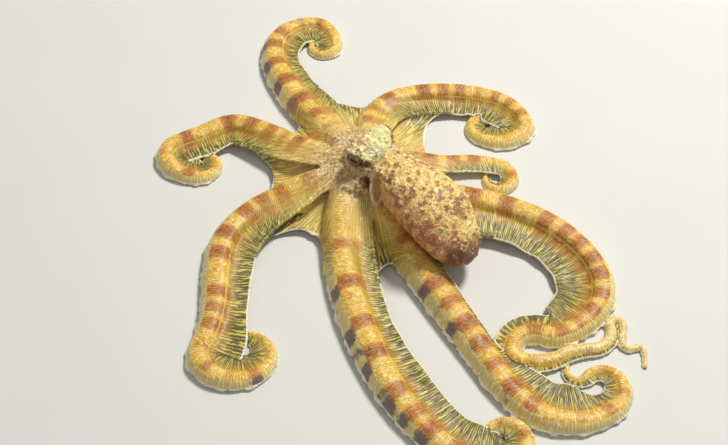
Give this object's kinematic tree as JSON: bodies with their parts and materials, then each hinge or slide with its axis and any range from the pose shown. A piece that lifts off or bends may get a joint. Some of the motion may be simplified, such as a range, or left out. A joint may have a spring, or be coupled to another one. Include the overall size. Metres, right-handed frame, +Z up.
{
  "type": "octopus",
  "caption": "Life-size still model of a mottled octopus at rest on the sea bed, its arms spread round the head and curled at the tips, with a webbed crown and an oval mantle.",
  "frame": {"origin": "on the floor, under the middle of the bounding box", "axes": "+Z up, -Y ahead of the animal's head and +Y towards the tip of its mantle, +X to the animal's left"},
  "size_m": [0.2622, 0.3353, 0.0435],
  "materials": {
    "skin": "moist skin, mottled yellow, red-brown and olive, with low warts and fine stripes",
    "eye": "wet and glossy, with a dark level pupil"
  },
  "bodies": {
    "root": {"eye_left": "eye", "eye_right": "eye", "head": "skin", "mantle": "skin", "arm_crown": "skin", "funnel": "skin", "arm_l1_1": "skin", "arm_l1_2": "skin", "arm_l1_3": "skin", "arm_l2_1": "skin", "arm_l2_2": "skin", "arm_l2_3": "skin", "arm_l2_4": "skin", "arm_l3_1": "skin", "arm_l3_2": "skin", "arm_l3_3": "skin", "arm_l3_4": "skin", "arm_l4_1": "skin", "arm_l4_2": "skin", "arm_l4_3": "skin", "arm_l4_4": "skin", "arm_r4_1": "skin", "arm_r4_2": "skin", "arm_r4_3": "skin", "arm_r4_4": "skin", "arm_r4_5": "skin", "arm_r3_1": "skin", "arm_r3_2": "skin", "arm_r2_1": "skin", "arm_r2_2": "skin", "arm_r2_3": "skin", "arm_r1_1": "skin", "arm_r1_2": "skin", "arm_r1_3": "skin", "web_r1_l1": "skin", "web_l1_l2": "skin", "web_l2_l3": "skin", "web_l3_l4": "skin", "web_l4_r4": "skin", "web_r4_r3": "skin", "web_r3_r2": "skin", "web_r2_r1": "skin"}
  },
  "joints": []
}
